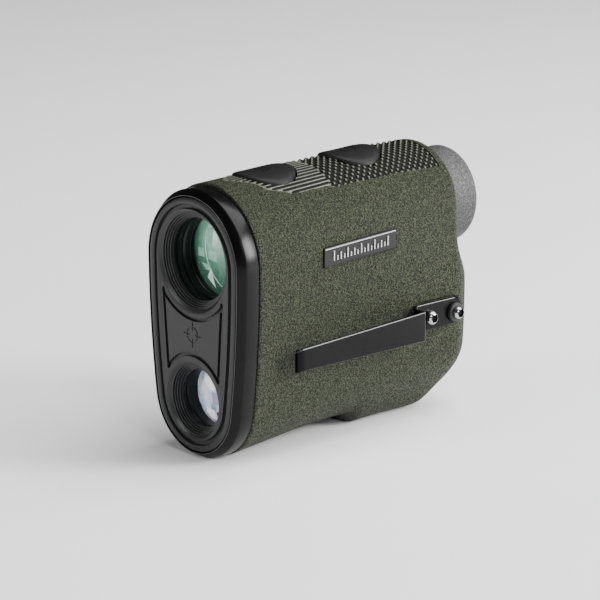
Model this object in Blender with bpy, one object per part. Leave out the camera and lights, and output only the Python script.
"""A handheld laser rangefinder: armoured body, viewing and receiving optics, battery and belt clip.

Axes: +X is the clip side, -Y is where the lenses look, +Z is up. The origin is on the flat
foot under the body. Every size below is in millimetres, and MM turns it into metres.
"Depth" is the distance behind the front of the face plate.
"""

import math

import bmesh
import bpy

MM = 0.001
GAP = 0.3  # air between pieces that touch

# Driving dimensions.
FRONT_Y = -64.0  # where depth 0 lies
OBJECTIVE_Z = 54.2
RECEIVER_Z = OBJECTIVE_Z - 38.4
EYEPIECE_Z = 58.8
BATTERY_Z = 28.0
SEAM = 6.8  # depth at which the armour begins
ARMOUR = 1.5  # thickness of the rubber
SHELL = 1.6  # thickness of the housing
SIDE_RADIUS = 285.0  # the slow bulge of the body's sides

# Outline of the face plate: (radius, height) of its upper and its lower arc.
PLATE_UPPER = (18.1, 53.4)
PLATE_LOWER = (15.6, 16.9)

# Body sections: depth, then radius and height of the upper arc, and of the lower arc.
STATIONS = (
    (6.8, 20.2, 53.9, 17.6, 16.9),
    (35.0, 18.9, 56.3, 16.8, 18.6),
    (62.0, 17.7, 58.5, 17.0, 19.4),
    (80.0, 17.2, 58.8, 17.6, 19.8),
)
REAR_UPPER, REAR_LOWER = 83.6, 89.7  # depth of the rear face, behind the eyepiece and below it
FILLET_UPPER, FILLET_LOWER = 3.5, 9.0
FOOT = 3.0  # how far the grip foot stands down
ROW_DEPTHS = (20.0, 35.0, 46.0, 50.0, 54.0, 62.0, 70.0)  # rows that every body loft shares

# Samples along half an outline: crown, side, toe.
CROWN, SIDE, TOE = 9, 4, 7

BUTTON_DEPTHS = {"front": 25.3, "rear": 56.3}
BUTTON_R = 8.6
BUTTON_TRAVEL = 0.6
SWITCH_TOP = 69.5
SWITCH_BOARD_Z = 67.4

CLIP_SCREWS = {"front": 69.9, "rear": 79.3}
CLIP_Z = 29.9
CLIP_SEAT_X = 17.9
CLIP_THICK = 1.0

# Screws that hold the housing halves together: depth and height.
HOUSING_SCREWS = ((12.0, 34.0), (52.0, 13.0), (78.0, 15.0), (67.0, 42.3))


def smooth(value, start, end):
    """0 before start, 1 after end, and a smooth step between them."""
    t = min(1.0, max(0.0, (value - start) / (end - start)))
    return t * t * (3 - 2 * t)


def blend(value, stations):
    """Straight lines through rows of (position, value, value, ...)."""
    for low, high in zip(stations, stations[1:]):
        if value <= high[0] or high is stations[-1]:
            share = (value - low[0]) / (high[0] - low[0])
            return [a + (b - a) * share for a, b in zip(low[1:], high[1:])]


# ---------------------------------------------------------------- materials


def material(name, colour, roughness, metallic=0.0, alpha=1.0):
    made = bpy.data.materials.new(name)
    made.use_nodes = True
    shader = made.node_tree.nodes["Principled BSDF"]
    shader.inputs["Base Color"].default_value = (*colour, 1.0)
    shader.inputs["Roughness"].default_value = roughness
    shader.inputs["Metallic"].default_value = metallic
    shader.inputs["Alpha"].default_value = alpha
    made.diffuse_color = (*colour, alpha)
    return made


def make_materials():
    return {
        "armour": material("armour", (0.085, 0.098, 0.066), 0.75),
        "bezel": material("bezel", (0.012, 0.012, 0.013), 0.35),
        "plate": material("plate", (0.07, 0.07, 0.074), 0.55),
        "button": material("button", (0.06, 0.062, 0.065), 0.6),
        "eyecup": material("eyecup", (0.075, 0.076, 0.08), 0.65),
        "chassis": material("chassis", (0.03, 0.03, 0.032), 0.5),
        "black_metal": material("black_metal", (0.015, 0.015, 0.016), 0.4, 0.9),
        "steel": material("steel", (0.6, 0.6, 0.6), 0.25, 1.0),
        "rubber": material("rubber", (0.012, 0.012, 0.012), 0.7),
        "glass_green": material("glass_green", (0.15, 0.5, 0.35), 0.03, 0.0, 0.4),
        "glass_violet": material("glass_violet", (0.55, 0.5, 0.75), 0.03, 0.0, 0.4),
        "glass": material("glass", (0.85, 0.9, 0.9), 0.03, 0.0, 0.35),
        "board": material("board", (0.02, 0.13, 0.06), 0.5),
        "chip": material("chip", (0.02, 0.02, 0.022), 0.4),
        "brass": material("brass", (0.7, 0.5, 0.2), 0.3, 1.0),
        "battery": material("battery", (0.10, 0.14, 0.25), 0.35),
        "badge": material("badge", (0.09, 0.09, 0.095), 0.4, 0.6),
        "polyimide": material("polyimide", (0.5, 0.2, 0.04), 0.4),
    }


# ---------------------------------------------------------------- mesh builders


def at(x, depth, z):
    """A point in metres from millimetres and a depth."""
    return (x * MM, (FRONT_Y + depth) * MM, z * MM)


def solid(name, points, faces, finish=None, origin=(0.0, 0.0, 0.0)):
    """An object from world points in metres, its faces turned outwards. Without a finish it is a tool."""
    mesh = bpy.data.meshes.new(name)
    mesh.from_pydata([[p[k] - origin[k] for k in range(3)] for p in points], [], faces)
    work = bmesh.new()
    work.from_mesh(mesh)
    bmesh.ops.recalc_face_normals(work, faces=work.faces)
    work.to_mesh(mesh)
    work.free()
    made = bpy.data.objects.new(name, mesh)
    made.location = origin
    bpy.context.scene.collection.objects.link(made)
    if finish is None:
        made.hide_render = True
        made.display_type = "WIRE"
    else:
        mesh.materials.append(finish)
        mesh.shade_smooth()
        mesh.set_sharp_from_angle(angle=math.radians(35))
    return made


def grid_faces(rows, columns, wrap=True):
    """Quads between consecutive rows of points; wrap joins the last column to the first."""
    last = columns if wrap else columns - 1
    return [
        (
            r * columns + c,
            r * columns + (c + 1) % columns,
            (r + 1) * columns + (c + 1) % columns,
            (r + 1) * columns + c,
        )
        for r in range(rows - 1)
        for c in range(last)
    ]


def turned(name, profile, centre, finish=None, along="Y", segments=28):
    """Turns a profile of (radius, distance) about an axis through centre, a point in metres.

    A profile that starts and ends on the axis makes a solid; any other is closed into a ring.
    """
    points, rings = [], []
    for radius, distance in profile:
        count = segments if radius > 1e-6 else 1
        rings.append(list(range(len(points), len(points) + count)))
        for k in range(count):
            angle = 2 * math.pi * k / segments
            u, v, w = radius * math.cos(angle) * MM, radius * math.sin(angle) * MM, distance * MM
            offset = {"Y": (u, w, v), "Z": (u, v, w), "X": (w, u, v)}[along]
            points.append([centre[i] + offset[i] for i in range(3)])
    pairs = list(zip(rings, rings[1:]))
    if len(rings[0]) > 1:
        pairs.append((rings[-1], rings[0]))
    faces = []
    for a, b in pairs:
        for k in range(segments):
            n = (k + 1) % segments
            if len(a) == 1:
                faces.append((a[0], b[k], b[n]))
            elif len(b) == 1:
                faces.append((a[k], a[n], b[0]))
            else:
                faces.append((a[k], a[n], b[n], b[k]))
    return solid(name, points, faces, finish, centre)


def cylinder(name, radius, start, end, centre, finish=None, along="Y", segments=28):
    profile = [(0, start), (radius, start), (radius, end), (0, end)]
    return turned(name, profile, centre, finish, along, segments)


def tube(name, inner, outer, start, end, centre, finish, along="Y", segments=28):
    profile = [(inner, start), (outer, start), (outer, end), (inner, end)]
    return turned(name, profile, centre, finish, along, segments)


def block(name, low, high, finish=None):
    """A box between two corners given as (x, depth, z)."""
    corners = [at(*(low[k] if bit >> k & 1 == 0 else high[k] for k in range(3))) for bit in range(8)]
    faces = [(0, 1, 3, 2), (4, 6, 7, 5), (0, 4, 5, 1), (2, 3, 7, 6), (0, 2, 6, 4), (1, 5, 7, 3)]
    return solid(name, corners, faces, finish)


def extrusion(name, outline, low, high, finish=None, across="X"):
    """Extrudes an outline. Across X it holds (depth, z); along Y, (x, z); across Z, (x, depth)."""
    place = {
        "X": lambda p, t: at(t, p[0], p[1]),
        "Y": lambda p, t: at(p[0], t, p[1]),
        "Z": lambda p, t: at(p[0], p[1], t),
    }[across]
    count = len(outline)
    points = [place(p, t) for t in (low, high) for p in outline]
    faces = [tuple(range(count)), tuple(range(2 * count - 1, count - 1, -1))]
    return solid(name, points, faces + grid_faces(2, count), finish)


def use(target, tool, operation="DIFFERENCE"):
    step = target.modifiers.new(tool.name, "BOOLEAN")
    step.object = tool
    step.operation = operation
    step.solver = "EXACT"


def arc(centre, radius, start, end, count):
    """Points along an arc, its angles in degrees."""
    turns = [math.radians(start + (end - start) * k / count) for k in range(count + 1)]
    return [(centre[0] + radius * math.cos(t), centre[1] + radius * math.sin(t)) for t in turns]


# ---------------------------------------------------------------- the egg outline and the body


def egg_samples():
    """Each sample is (side, arc, share): from the crown down the right, then up the left."""
    right = [(1, "crown", k / CROWN) for k in range(CROWN)]
    right += [(1, "side", k / SIDE) for k in range(SIDE)]
    right += [(1, "toe", k / TOE) for k in range(TOE + 1)]
    return right + [(-1, kind, share) for _, kind, share in right[-2:0:-1]]


SAMPLES = egg_samples()


def egg_point(sample, upper, lower, offset=0.0):
    """(x, z) of a sample on two arcs joined by long side arcs, moved outwards by offset."""
    side, kind, share = sample
    (r1, z1), (r2, z2) = upper, lower
    a, b, span = SIDE_RADIUS - r1, SIDE_RADIUS - r2, z1 - z2
    rise = (a * a - b * b + span * span) / (2 * span)
    high, low = math.asin(rise / a), -math.asin((span - rise) / b)
    if kind == "crown":
        centre, radius, angle = (0, z1), r1, math.pi / 2 + share * (high - math.pi / 2)
    elif kind == "side":
        centre, radius = (-a * math.cos(high), z1 - rise), SIDE_RADIUS
        angle = high + share * (low - high)
    else:
        centre, radius, angle = (0, z2), r2, low + share * (-math.pi / 2 - low)
    radius += offset
    return side * (centre[0] + radius * math.cos(angle)), centre[1] + radius * math.sin(angle)


def rear_depth(z):
    """Depth of the rear face: set in behind the eyepiece, and cut in again towards the foot."""
    below = 1 - smooth(z, 37, 50)
    return REAR_UPPER + (REAR_LOWER - REAR_UPPER) * below - 0.02 * max(0.0, 20 - z) ** 2


def body_point(sample, depth, inset):
    """(x, z) of the body's surface, inset millimetres under the outside of the armour."""
    r1, z1, r2, z2 = blend(depth, STATIONS)
    x, z = egg_point(sample, (r1, z1), (r2, z2), -inset)
    foot = FOOT * smooth(depth, 47, 54) * (1 - smooth(depth, 74, 88))
    foot *= (1 - smooth(abs(x), 8, 14)) * smooth(z2 - z, 2, 9)
    return x, max(z - foot, inset / 2)


def half_width(depth, z, inset):
    """Half the body's width at that depth and height."""
    rows = [body_point(s, depth, inset) for s in SAMPLES if s[0] > 0]
    for (x0, z0), (x1, z1) in zip(rows, rows[1:]):
        if z1 <= z <= z0:
            return x0 + (x1 - x0) * (z0 - z) / (z0 - z1)


def top_height(x, depth):
    """Height of the armour's upper surface."""
    r1, z1, _, _ = blend(depth, STATIONS)
    return z1 + math.sqrt(r1 * r1 - x * x)


def body_loft(name, inset, front, finish=None):
    """The closed body shape at that inset, from depth front to its rounded rear face."""
    rear = [rear_depth(body_point(s, 80, 0)[1]) for s in SAMPLES]
    low = [1 - smooth(body_point(s, 80, 0)[1], 37, 50) for s in SAMPLES]
    fillet = [FILLET_UPPER + (FILLET_LOWER - FILLET_UPPER) * share - inset / 2 for share in low]
    points = []
    for row in (front, *ROW_DEPTHS, None):
        for sample, end, radius in zip(SAMPLES, rear, fillet):
            depth = end - inset - radius if row is None else row
            x, z = body_point(sample, depth, inset)
            points.append(at(x, depth, z))
    turns = (22, 44, 66, 86)
    for turn in map(math.radians, turns):
        for sample, end, radius in zip(SAMPLES, rear, fillet):
            depth = end - inset - radius * (1 - math.sin(turn))
            x, z = body_point(sample, depth, inset + radius * (1 - math.cos(turn)))
            points.append(at(x, depth, z))
    columns, rows = len(SAMPLES), len(ROW_DEPTHS) + 2 + len(turns)
    faces = grid_faces(rows, columns)
    faces.append(tuple(range(columns)))
    half, base = columns // 2, (rows - 1) * columns
    faces.append((base, base + 1, base + columns - 1))
    for k in range(1, half - 1):
        faces.append((base + k, base + k + 1, base + columns - k - 1, base + columns - k))
    faces.append((base + half - 1, base + half, base + half + 1))
    return solid(name, points, faces, finish)


def ring_of_egg(name, profile, finish=None):
    """Sweeps a closed profile of (offset, depth) round the face plate's outline."""
    points = []
    for offset, depth in profile:
        for sample in SAMPLES:
            x, z = egg_point(sample, PLATE_UPPER, PLATE_LOWER, offset)
            points.append(at(x, depth, max(z, 0.0)))
    columns, rows = len(SAMPLES), len(profile)
    return solid(name, points, grid_faces(rows, columns) + closing(rows, columns), finish)


def closing(rows, columns):
    """Quads that join the last row of a grid to its first."""
    base = (rows - 1) * columns
    return [(k, base + k, base + (k + 1) % columns, (k + 1) % columns) for k in range(columns)]


# ---------------------------------------------------------------- outside pieces


def make_front(m):
    """The chamfered bezel and the face plate that it holds, with its two stepped bores."""
    rim, lip = 1.8, -2.5
    section = [(0, 0), (rim, 2.2), (rim, 6.5), (lip, 6.5), (lip, 3.5), (0, 3.5)]
    ring_of_egg("front_bezel", section, m["bezel"])

    thick = 3.2
    outline = [egg_point(s, PLATE_UPPER, PLATE_LOWER, -GAP) for s in SAMPLES]
    plate = extrusion("face_plate", outline, 0, thick, m["plate"], across="Y")
    use(plate, ring_of_egg("plate_groove", [(-2.3, -1), (-2.3, 0.5), (-3.2, 0.5), (-3.2, -1)]))
    ports = (("objective_port", OBJECTIVE_Z, 12.9, 0.7), ("receiver_port", RECEIVER_Z, 9.4, 0.6))
    for name, height, outer, step in ports:
        profile = [(0, -1), (outer, -1)]
        for k in range(3):
            profile += [(outer - k * step, 0.8 * (k + 1)), (outer - (k + 1) * step, 0.8 * (k + 1))]
        profile += [(outer - 3 * step, thick + 1), (0, thick + 1)]
        use(plate, turned(name, profile, at(0, 0, height), segments=32))


def make_armour(m):
    """The rubber skin, with its holes for buttons, eyepiece, battery cap, badge and clip."""
    armour = body_loft("armour", 0, SEAM, m["armour"])
    use(armour, body_loft("armour_hollow", ARMOUR, SEAM - 4))
    for name, depth in BUTTON_DEPTHS.items():
        hole = cylinder(f"armour_{name}_button_hole", BUTTON_R + 0.4, 60, 80, at(0, depth, 0), along="Z")
        use(armour, hole)
    use(armour, cylinder("eyecup_pocket", 14.3, REAR_UPPER - 0.3, 100, at(0, 0, EYEPIECE_Z), segments=36))
    use(armour, cylinder("armour_eyepiece_hole", 11.4, 70, 100, at(0, 0, EYEPIECE_Z)))
    use(armour, cylinder("armour_cap_hole", 10.2, 80, 100, at(0, 0, BATTERY_Z)))
    use(armour, block("clip_seat", (CLIP_SEAT_X, 64.2, 26.0), (25, 82.7, 34.4)))
    use(armour, badge_block("badge_seat", GAP, 3.0, None))
    for name, depth in CLIP_SCREWS.items():
        centre = at(0, depth, CLIP_Z)
        use(armour, cylinder(f"armour_clip_{name}_hole", 1.5, 10, 25, centre, along="X", segments=12))


def badge_block(name, grow, proud, finish):
    """The badge plate, which follows the taper of the body's side. A grown one cuts its seat."""
    depth, z, length, height, thick = 43.5, 54.0, 27.8, 5.4, 0.8
    taper, climb = 0.052, 0.03
    surface = half_width(depth, z, 0)
    points = []
    for x in (-thick + 0.2 - grow, 0.2 + proud if grow else 0.35):
        for along, up in ((-1, -1), (1, -1), (1, 1), (-1, 1)):
            run = along * (length / 2 + grow)
            level = z + climb * run + up * (height / 2 + grow)
            points.append(at(surface + x - taper * run, depth + run, level))
    return solid(name, points, [(3, 2, 1, 0), (4, 5, 6, 7)] + grid_faces(2, 4), finish)


def wall_reach(depth, z, inset, radius):
    """The narrowest half-width of the body under a round boss of that radius."""
    spots = [(depth + run, z + rise) for run in (-radius, 0, radius) for rise in (-radius, 0, radius)]
    return min(half_width(*spot, inset) for spot in spots)


def make_housing(m):
    """The two halves of the chassis, with the bosses that their screws and the clip's screws use."""
    inset = ARMOUR + GAP
    boss, head = 2.8, 2.2
    walls = [wall_reach(depth, z, inset, boss) for depth, z in HOUSING_SCREWS]
    for side, name in ((1, "housing_right"), (-1, "housing_left")):
        shell = body_loft(name, inset, SEAM, m["chassis"])
        use(shell, body_loft(f"{name}_hollow", inset + SHELL, SEAM - 4))
        reach = (-40, GAP / 2) if side > 0 else (-GAP / 2, 40)
        use(shell, block(f"{name}_split", (reach[0], -5, -5), (reach[1], 100, 90)))
        use(shell, cylinder(f"{name}_eyecup_pocket", 14.3, REAR_UPPER - 0.3, 100, at(0, 0, EYEPIECE_Z)))
        use(shell, cylinder(f"{name}_eyepiece_hole", 11.4, 60, 100, at(0, 0, EYEPIECE_Z)))
        use(shell, cylinder(f"{name}_cap_hole", 9.6, 70, 100, at(0, 0, BATTERY_Z)))
        use(shell, cylinder(f"{name}_cap_seat", 10.2, 88.1, 100, at(0, 0, BATTERY_Z)))
        for key, depth in BUTTON_DEPTHS.items():
            axis = at(0, depth, 0)
            hole = cylinder(f"{name}_{key}_plunger_hole", 3.6, 60, 80, axis, along="Z", segments=16)
            use(shell, hole)
        if side > 0:
            for key, depth in CLIP_SCREWS.items():
                centre, reach = at(0, depth, CLIP_Z), half_width(depth, CLIP_Z, inset) - 0.8
                post = cylinder(f"clip_{key}_boss", 2.6, 10.6, reach, centre, along="X", segments=12)
                use(shell, post, "UNION")
                use(shell, cylinder(f"clip_{key}_bore", 1.5, 8, 25, centre, along="X", segments=10))
        for k, ((depth, z), wall) in enumerate(zip(HOUSING_SCREWS, walls)):
            ends = sorted((side * GAP, side * (wall - 0.4)))
            post = cylinder(f"{name}_boss_{k}", boss, *ends, at(0, depth, z), along="X", segments=12)
            use(shell, post, "UNION")
        for k, ((depth, z), wall) in enumerate(zip(HOUSING_SCREWS, walls)):
            bore = [(0, -30), (head, -30), (head, -wall + 2.6), (1.3, -wall + 2.6), (1.3, 6.0), (0, 6.0)]
            use(shell, turned(f"{name}_bore_{k}", bore, at(0, depth, z), along="X", segments=12))

    for k, ((depth, z), wall) in enumerate(zip(HOUSING_SCREWS, walls)):
        seat = -wall + 2.6 - GAP
        profile = [(0, seat - 1.4), (1.9, seat - 1.4), (1.9, seat), (1.0, seat), (1.0, 5.5), (0, 5.5)]
        turned(f"housing_screw_{k + 1}", profile, at(0, depth, z), m["steel"], "X", 12)


def make_button(key, m):
    """A round button that follows the crown's curve, with a plunger, its O-ring and its switch."""
    depth = BUTTON_DEPTHS[key]
    plunger, segments = 2.0, 28
    rows = [(4.0, 0.7), (7.5, 0.7), (8.3, 0.55), (BUTTON_R, 0.2), (BUTTON_R, -0.8), (plunger, -0.8)]
    points = [at(0, depth, top_height(0, depth) + 0.7)]
    for radius, rise in rows:
        for k in range(segments):
            x = radius * math.cos(2 * math.pi * k / segments)
            y = depth + radius * math.sin(2 * math.pi * k / segments)
            points.append(at(x, y, top_height(x, y) + rise))
    foot = SWITCH_TOP + BUTTON_TRAVEL + 0.15
    for k in range(segments):
        turn = 2 * math.pi * k / segments
        points.append(at(plunger * math.cos(turn), depth + plunger * math.sin(turn), foot))
    points.append(at(0, depth, foot))
    faces = [(0, 1 + k, 1 + (k + 1) % segments) for k in range(segments)]
    faces += [tuple(1 + i for i in face) for face in grid_faces(len(rows) + 1, segments)]
    last = 1 + len(rows) * segments
    faces += [(last + k, last + (k + 1) % segments, len(points) - 1) for k in range(segments)]
    solid(f"{key}_button", points, faces, m["button"], at(0, depth, top_height(0, depth)))

    crown = top_height(0, depth) - ARMOUR - GAP - SHELL / 2
    ring = [(2.8 + 0.5 * math.cos(t), 0.5 * math.sin(t)) for t in [2 * math.pi * k / 6 for k in range(6)]]
    turned(f"{key}_button_seal", ring, at(0, depth, crown), m["rubber"], "Z", 14)

    body_top, half = SWITCH_TOP - 0.5, 2.6
    low = SWITCH_BOARD_Z + 0.8 + GAP
    switch = block(f"{key}_switch", (-half, depth - half, low), (half, depth + half, body_top), m["chip"])
    axis = at(0, depth, 0)
    cap = cylinder(f"{key}_switch_cap", 1.4, body_top - 0.3, SWITCH_TOP, axis, along="Z", segments=12)
    use(switch, cap, "UNION")


def make_clip(m):
    """The belt clip: its mounting plate, spring blade, two socket screws and a rubber washer."""
    inner = CLIP_SEAT_X + GAP
    outer = inner + CLIP_THICK
    bottom, top, front, rear = 26.4, 34.0, 64.9, 82.2
    corner = 3.4
    outline = [(front, bottom), (rear - corner, bottom)]
    outline += arc((rear - corner, bottom + corner), corner, -75, 0, 5)
    outline += arc((rear - corner, top - corner), corner, 0, 90, 6)
    outline += [(front, top)]
    plate = extrusion("clip_plate", outline, inner, outer, m["black_metal"])

    # The blade in plan, from its root at the plate to the curled tip, as (x, depth).
    stand, root, tip = 23.8, front - GAP, 18.3
    outside = [(outer, root), (outer, root - 0.4), *arc((outer + 0.5, root - 0.9), 0.5, 180, 270, 3)]
    outside += arc((stand - 1.2, root - 2.6), 1.2, 90, 0, 5)
    outside += arc((stand - 1.4, tip + 0.4), 1.4, 0, -75, 5)
    inside = [
        (x - CLIP_THICK * nx, d - CLIP_THICK * nd)
        for (x, d), (nx, nd) in zip(outside, path_normals(outside))
    ]
    path = outside + inside[::-1]
    points = []
    for level in (0, 1):
        for x, depth in path:
            share = (root - depth) / (root - tip)
            low, high = 25.2 + 0.3 * share, 33.5 - 2.1 * share
            points.append(at(x, depth, high if level else low))
    count, half = len(path), len(outside)
    faces = grid_faces(2, count)
    for level in (0, count):
        last = level + count - 1
        faces += [(level + k, level + k + 1, last - k - 1, last - k) for k in range(half - 1)]
    solid("clip_blade", points, faces, m["black_metal"], at((inner + outer) / 2, root, CLIP_Z))

    seats = {"front": outer + GAP, "rear": outer + GAP + 0.7 + GAP}
    widths = {"front": 2.05, "rear": 1.85}
    for key, depth in CLIP_SCREWS.items():
        hole = cylinder(f"plate_{key}_hole", 1.5, 15, 25, at(0, depth, CLIP_Z), along="X", segments=12)
        use(plate, hole)
        seat, wide = seats[key], widths[key]
        head = [(0, seat + 1.5), (1.3, seat + 1.5), (wide - 0.3, seat + 1.2), (wide, seat + 0.6), (wide, seat)]
        profile = head + [(1.2, seat), (1.2, 11.4), (0, 11.4)]
        screw = turned(f"clip_screw_{key}", profile, at(0, depth, CLIP_Z), m["steel"], "X", 18)
        centre = at(0, depth, CLIP_Z)
        use(screw, cylinder(f"socket_{key}", 1.1, seat + 0.5, seat + 3, centre, along="X", segments=6))
    washer = (outer + GAP, outer + GAP + 0.7)
    tube("clip_washer", 1.6, 2.7, *washer, at(0, CLIP_SCREWS["rear"], CLIP_Z), m["rubber"], "X", 20)


def path_normals(path):
    """Unit normals to the left of an open path, one for each point."""
    found = []
    for k in range(len(path)):
        (x0, y0), (x1, y1) = path[max(0, k - 1)], path[min(len(path) - 1, k + 1)]
        length = math.hypot(x1 - x0, y1 - y0)
        found.append((-(y1 - y0) / length, (x1 - x0) / length))
    return found


# ---------------------------------------------------------------- optics


def lens(name, radius, front, front_sag, back, back_sag, z, finish, segments=24):
    """A lens from depth front to depth back on its axis. A positive sag bulges towards the front.

    front_sag is how far the front's rim lies behind its vertex, back_sag the same for the rear.
    """
    shares = (0.0, 0.6, 1.0)
    profile = [(radius * s, front + front_sag * s * s) for s in shares]
    profile += [(radius * s, back + back_sag * s * s) for s in reversed(shares)]
    return turned(name, profile, at(0, 0, z), finish, segments=segments)


def make_objective(m):
    centre = at(0, 0, OBJECTIVE_Z)
    cell = [(12.3, 3.5), (13.6, 3.5), (13.6, 17.0), (10.6, 17.0), (10.6, 14.3), (12.3, 14.3)]
    turned("objective_cell", cell, centre, m["black_metal"], segments=32)
    tube("objective_lock_ring", 10.8, 12.0, 6.4, 9.7, centre, m["black_metal"])
    lens("objective_front_lens", 12.0, 8.8, 1.7, 12.4, -1.0, OBJECTIVE_Z, m["glass_green"])
    lens("objective_rear_lens", 12.0, 12.7, -1.0, 14.0, -0.2, OBJECTIVE_Z, m["glass"])


def make_receiver(m):
    centre = at(0, 0, RECEIVER_Z)
    cell = [(8.6, 3.5), (9.6, 3.5), (9.6, 15.0), (5.6, 40.0)]
    cell += [(3.6, 40.0), (7.2, 15.0), (7.2, 12.3), (8.6, 12.3)]
    turned("receiver_cell", cell, centre, m["black_metal"], segments=24)
    tube("receiver_lock_ring", 7.5, 8.3, 4.6, 7.4, centre, m["black_metal"], segments=24)
    lens("receiver_lens", 8.3, 6.2, 2.0, 12.0, 0.0, RECEIVER_Z, m["glass_violet"])
    can = [(0, 41), (2.4, 41), (2.4, 43), (3.0, 43), (3.0, 43.6), (0, 43.6)]
    turned("detector_can", can, centre, m["brass"], segments=12)
    block("detector_board", (-7, 43.9, RECEIVER_Z - 5), (7, 45.1, RECEIVER_Z + 7), m["board"])


def make_prisms(m):
    """A two-part roof prism on a channel-shaped holder, and the laser that shines up into it."""
    half = 8.5
    extrusion("prism_front", [(34, 47), (34, 65), (41, 65), (54, 52), (48, 47)], -half, half, m["glass"])
    extrusion("prism_rear", [(42, 65), (55, 52), (61, 58), (61, 65)], -half, half, m["glass"])
    wall, floor, low, high = 1.2, 45.2, 44.0, 60.0
    inner = half + 0.4
    channel = [(-inner - wall, low), (inner + wall, low), (inner + wall, high), (inner, high)]
    channel += [(inner, floor), (-inner, floor), (-inner, high), (-inner - wall, high)]
    holder = extrusion("prism_holder", channel, 32, 63, m["chassis"], across="Y")
    laser = at(0, 50, 0)
    use(holder, cylinder("laser_window", 2.6, 40, 46, laser, along="Z", segments=12))

    seat = block("laser_holder", (-5, 45, 38.4), (5, 55, 43.7), m["black_metal"])
    use(seat, cylinder("laser_bore", 3.1, 30, 50, laser, along="Z", segments=14))
    can = [(0, 38.9), (2.8, 38.9), (2.8, 39.9), (2.3, 39.9), (2.3, 43.2), (0, 43.2)]
    turned("laser_diode", can, laser, m["brass"], "Z", 14)

    frame = block("display_frame", (-9, 66.2, EYEPIECE_Z - 9), (9, 68.2, EYEPIECE_Z + 7.6), m["chip"])
    use(frame, block("display_window", (-6, 60, EYEPIECE_Z - 6), (6, 75, EYEPIECE_Z + 6)))
    pane = 6 - GAP
    block("display_glass", (-pane, 66.8, EYEPIECE_Z - pane), (pane, 67.6, EYEPIECE_Z + pane), m["glass"])


def make_eyepiece(m):
    centre = at(0, 0, EYEPIECE_Z)
    barrel = [(10.2, 71), (12.0, 71), (12.0, 72.5), (11.0, 72.5), (11.0, 88.6), (10.2, 88.6)]
    turned("eyepiece_barrel", barrel, centre, m["black_metal"])
    cell = [(7.4, 75.5), (9.8, 75.5), (9.8, 87.4), (8.7, 87.4)]
    cell += [(8.7, 84.2), (7.4, 84.2), (7.4, 80.8), (8.7, 80.8)]
    cell += [(8.7, 77.0), (7.4, 77.0)]
    turned("eyepiece_cell", cell, centre, m["black_metal"], segments=24)
    lens("field_lens", 8.4, 77.6, 0.4, 80.2, -0.6, EYEPIECE_Z, m["glass"])
    lens("eye_lens", 8.4, 84.5, 0.6, 87.2, -0.7, EYEPIECE_Z, m["glass"])
    ring = [(9.0, 88.9), (11.0, 88.9), (11.0, 90.4), (10.6, 90.9), (9.4, 90.9), (9.0, 90.5)]
    turned("dioptre_ring", ring, centre, m["chassis"])
    tube("eyecup_sleeve", 11.4, 12.1, 84.4, 91.4, centre, m["black_metal"])
    cup = [(12.5, 84.0), (13.5, 84.0), (13.9, 92.4), (13.5, 93.3), (12.8, 93.6), (11.9, 93.3)]
    cup += [(11.6, 92.6), (11.8, 91.9), (12.5, 91.9)]
    turned("eyecup", cup, centre, m["eyecup"], segments=36)


# ---------------------------------------------------------------- electronics and battery


def make_electronics(m):
    board_x = (-12.2, -11.0)
    block("main_board", (board_x[0], 20, 24), (board_x[1], 62, 50), m["board"])
    block("processor_chip", (board_x[1] + GAP, 22, 30), (-9.5, 31, 39), m["chip"])
    can = at(-7.4, 39.5, 0)
    cylinder("laser_capacitor", 3.2, 30, 41, can, m["battery"], "Z", 16)
    block("button_board", (-8, 18, SWITCH_BOARD_Z), (8, 64, SWITCH_BOARD_Z + 0.8), m["board"])
    strip = [(-8.3, 68.0), (-8.3, 67.6), (-11.3, 64.8), (-11.3, 50.4), (-11.7, 50.4), (-11.7, 65.0)]
    extrusion("ribbon_cable", strip, 24, 30, m["polyimide"], across="Y")


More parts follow.
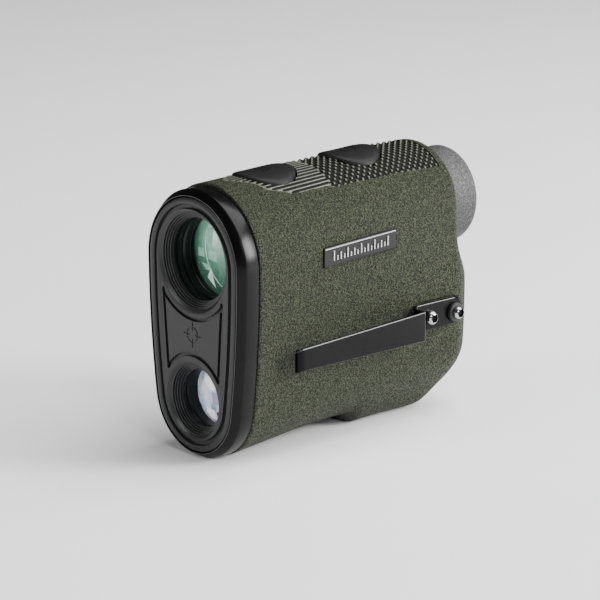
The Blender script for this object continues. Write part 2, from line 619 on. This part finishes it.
def make_battery(m):
    centre = at(0, 0, BATTERY_Z)
    sleeve = [(0, 53), (9.3, 53), (9.3, 84.6), (8.3, 84.6), (8.3, 54), (0, 54)]
    turned("battery_tube", sleeve, centre, m["chassis"])
    cell = [(0, 57.4), (7.5, 57.4), (7.8, 57.8), (7.8, 83.4)]
    cell += [(7.5, 83.8), (3.0, 83.8), (3.0, 85.0), (0, 85.0)]
    turned("battery", cell, centre, m["battery"])

    turns, steps, wire = 2.5, 12, 0.35
    line = bpy.data.curves.new("battery_spring", "CURVE")
    line.dimensions = "3D"
    line.bevel_depth, line.bevel_resolution, line.use_fill_caps = wire * MM, 1, True
    spline = line.splines.new("POLY")
    count = int(turns * steps)
    spline.points.add(count)
    for k, point in enumerate(spline.points):
        turn, share = 2 * math.pi * k / steps, k / count
        radius = 5.5 - 2.5 * share
        spot = at(radius * math.cos(turn), 54.7 + 2.0 * share, BATTERY_Z + radius * math.sin(turn))
        point.co = (*spot, 1.0)
    line.materials.append(m["steel"])
    spring = bpy.data.objects.new("battery_spring", line)
    bpy.context.scene.collection.objects.link(spring)

    cylinder("battery_cap_plug", 8.0, 85.4, 88.1, centre, m["brass"])
    turns = [2 * math.pi * k / 6 for k in range(6)]
    seal = [(8.8 + 0.45 * math.cos(t), 86.8 + 0.45 * math.sin(t)) for t in turns]
    turned("battery_cap_seal", seal, centre, m["rubber"])
    profile = [(0, 88.4), (9.8, 88.4), (9.8, 90.6), (9.3, 91.1), (0, 91.1)]
    cap = turned("battery_cap", profile, centre, m["chassis"], segments=36)
    use(cap, block("coin_slot", (-7, 90.0, BATTERY_Z - 0.9), (7, 93, BATTERY_Z + 0.9)))


def main():
    for old in list(bpy.data.objects):
        bpy.data.objects.remove(old)
    finishes = make_materials()
    make_front(finishes)
    make_armour(finishes)
    make_housing(finishes)
    for key in BUTTON_DEPTHS:
        make_button(key, finishes)
    badge_block("badge", 0, 0, finishes["badge"])
    make_clip(finishes)
    make_objective(finishes)
    make_receiver(finishes)
    make_prisms(finishes)
    make_eyepiece(finishes)
    make_electronics(finishes)
    make_battery(finishes)


main()
